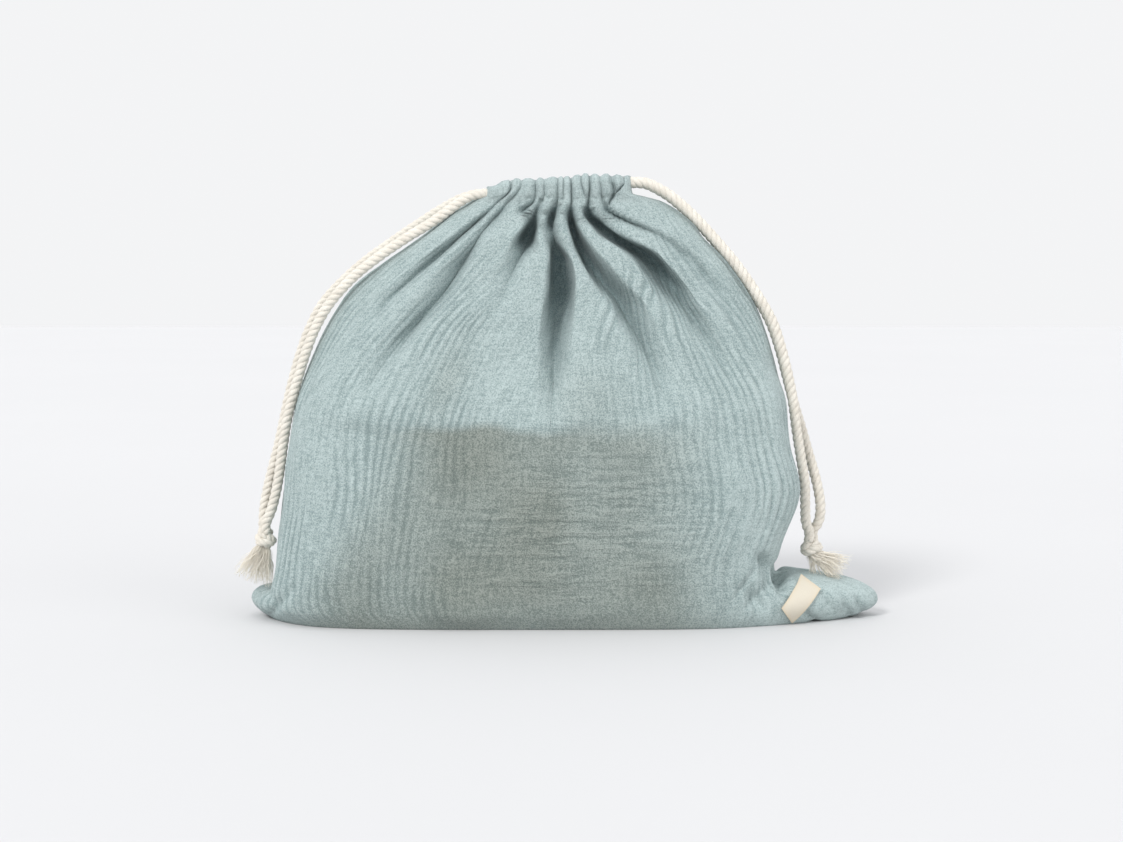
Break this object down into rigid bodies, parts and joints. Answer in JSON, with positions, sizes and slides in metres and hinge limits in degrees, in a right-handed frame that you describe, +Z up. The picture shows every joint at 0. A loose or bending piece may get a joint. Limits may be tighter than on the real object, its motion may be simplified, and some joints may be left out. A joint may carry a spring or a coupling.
{
  "type": "drawstring bag",
  "caption": "Filled double-gauze drawstring lunch bag, cinched at the top by cords that leave both ends of a gathered casing and end in knots with tassels.",
  "frame": {"origin": "on the table, under the middle of the cloth between the tips of the two bottom corners", "axes": "+X along the bottom seam towards the corner with the label, -Y out of the front, +Z up"},
  "size_m": [0.2989, 0.0946, 0.2071],
  "materials": {
    "muslin": "crinkled double gauze, matt",
    "cotton_cord": "twisted natural cotton, matt",
    "label_tape": "plain woven tape, matt"
  },
  "bodies": {
    "bag": {"front_panel": "muslin", "back_panel": "muslin", "front_casing": "muslin", "back_casing": "muslin", "left_drawcord_loop": "cotton_cord", "right_drawcord_loop": "cotton_cord", "sewn_label": "label_tape"},
    "left_lead": {"left_cord_lead_front": "cotton_cord", "left_cord_lead_back": "cotton_cord"},
    "left_cord": {"left_cord_front": "cotton_cord", "left_cord_back": "cotton_cord", "left_knot": "cotton_cord", "left_tassel": "cotton_cord"},
    "right_lead": {"right_cord_lead_front": "cotton_cord", "right_cord_lead_back": "cotton_cord"},
    "right_cord": {"right_cord_front": "cotton_cord", "right_cord_back": "cotton_cord", "right_knot": "cotton_cord", "right_tassel": "cotton_cord"}
  },
  "joints": [
    {"name": "left_cord_pull", "type": "slide", "parent": "bag", "child": "left_lead", "axis": [-1, 0, 0], "range_m": [0, 0.015]},
    {"name": "left_cord_swing", "type": "hinge", "parent": "left_lead", "child": "left_cord", "pos_m": [-0.0363, 0, 0.1997], "axis": [0, 1, 0], "range_deg": [0, 75]},
    {"name": "right_cord_pull", "type": "slide", "parent": "bag", "child": "right_lead", "axis": [1, 0, 0], "range_m": [0, 0.015]},
    {"name": "right_cord_swing", "type": "hinge", "parent": "right_lead", "child": "right_cord", "pos_m": [0.0313, 0, 0.2051], "axis": [0, -1, 0], "range_deg": [0, 75]}
  ]
}
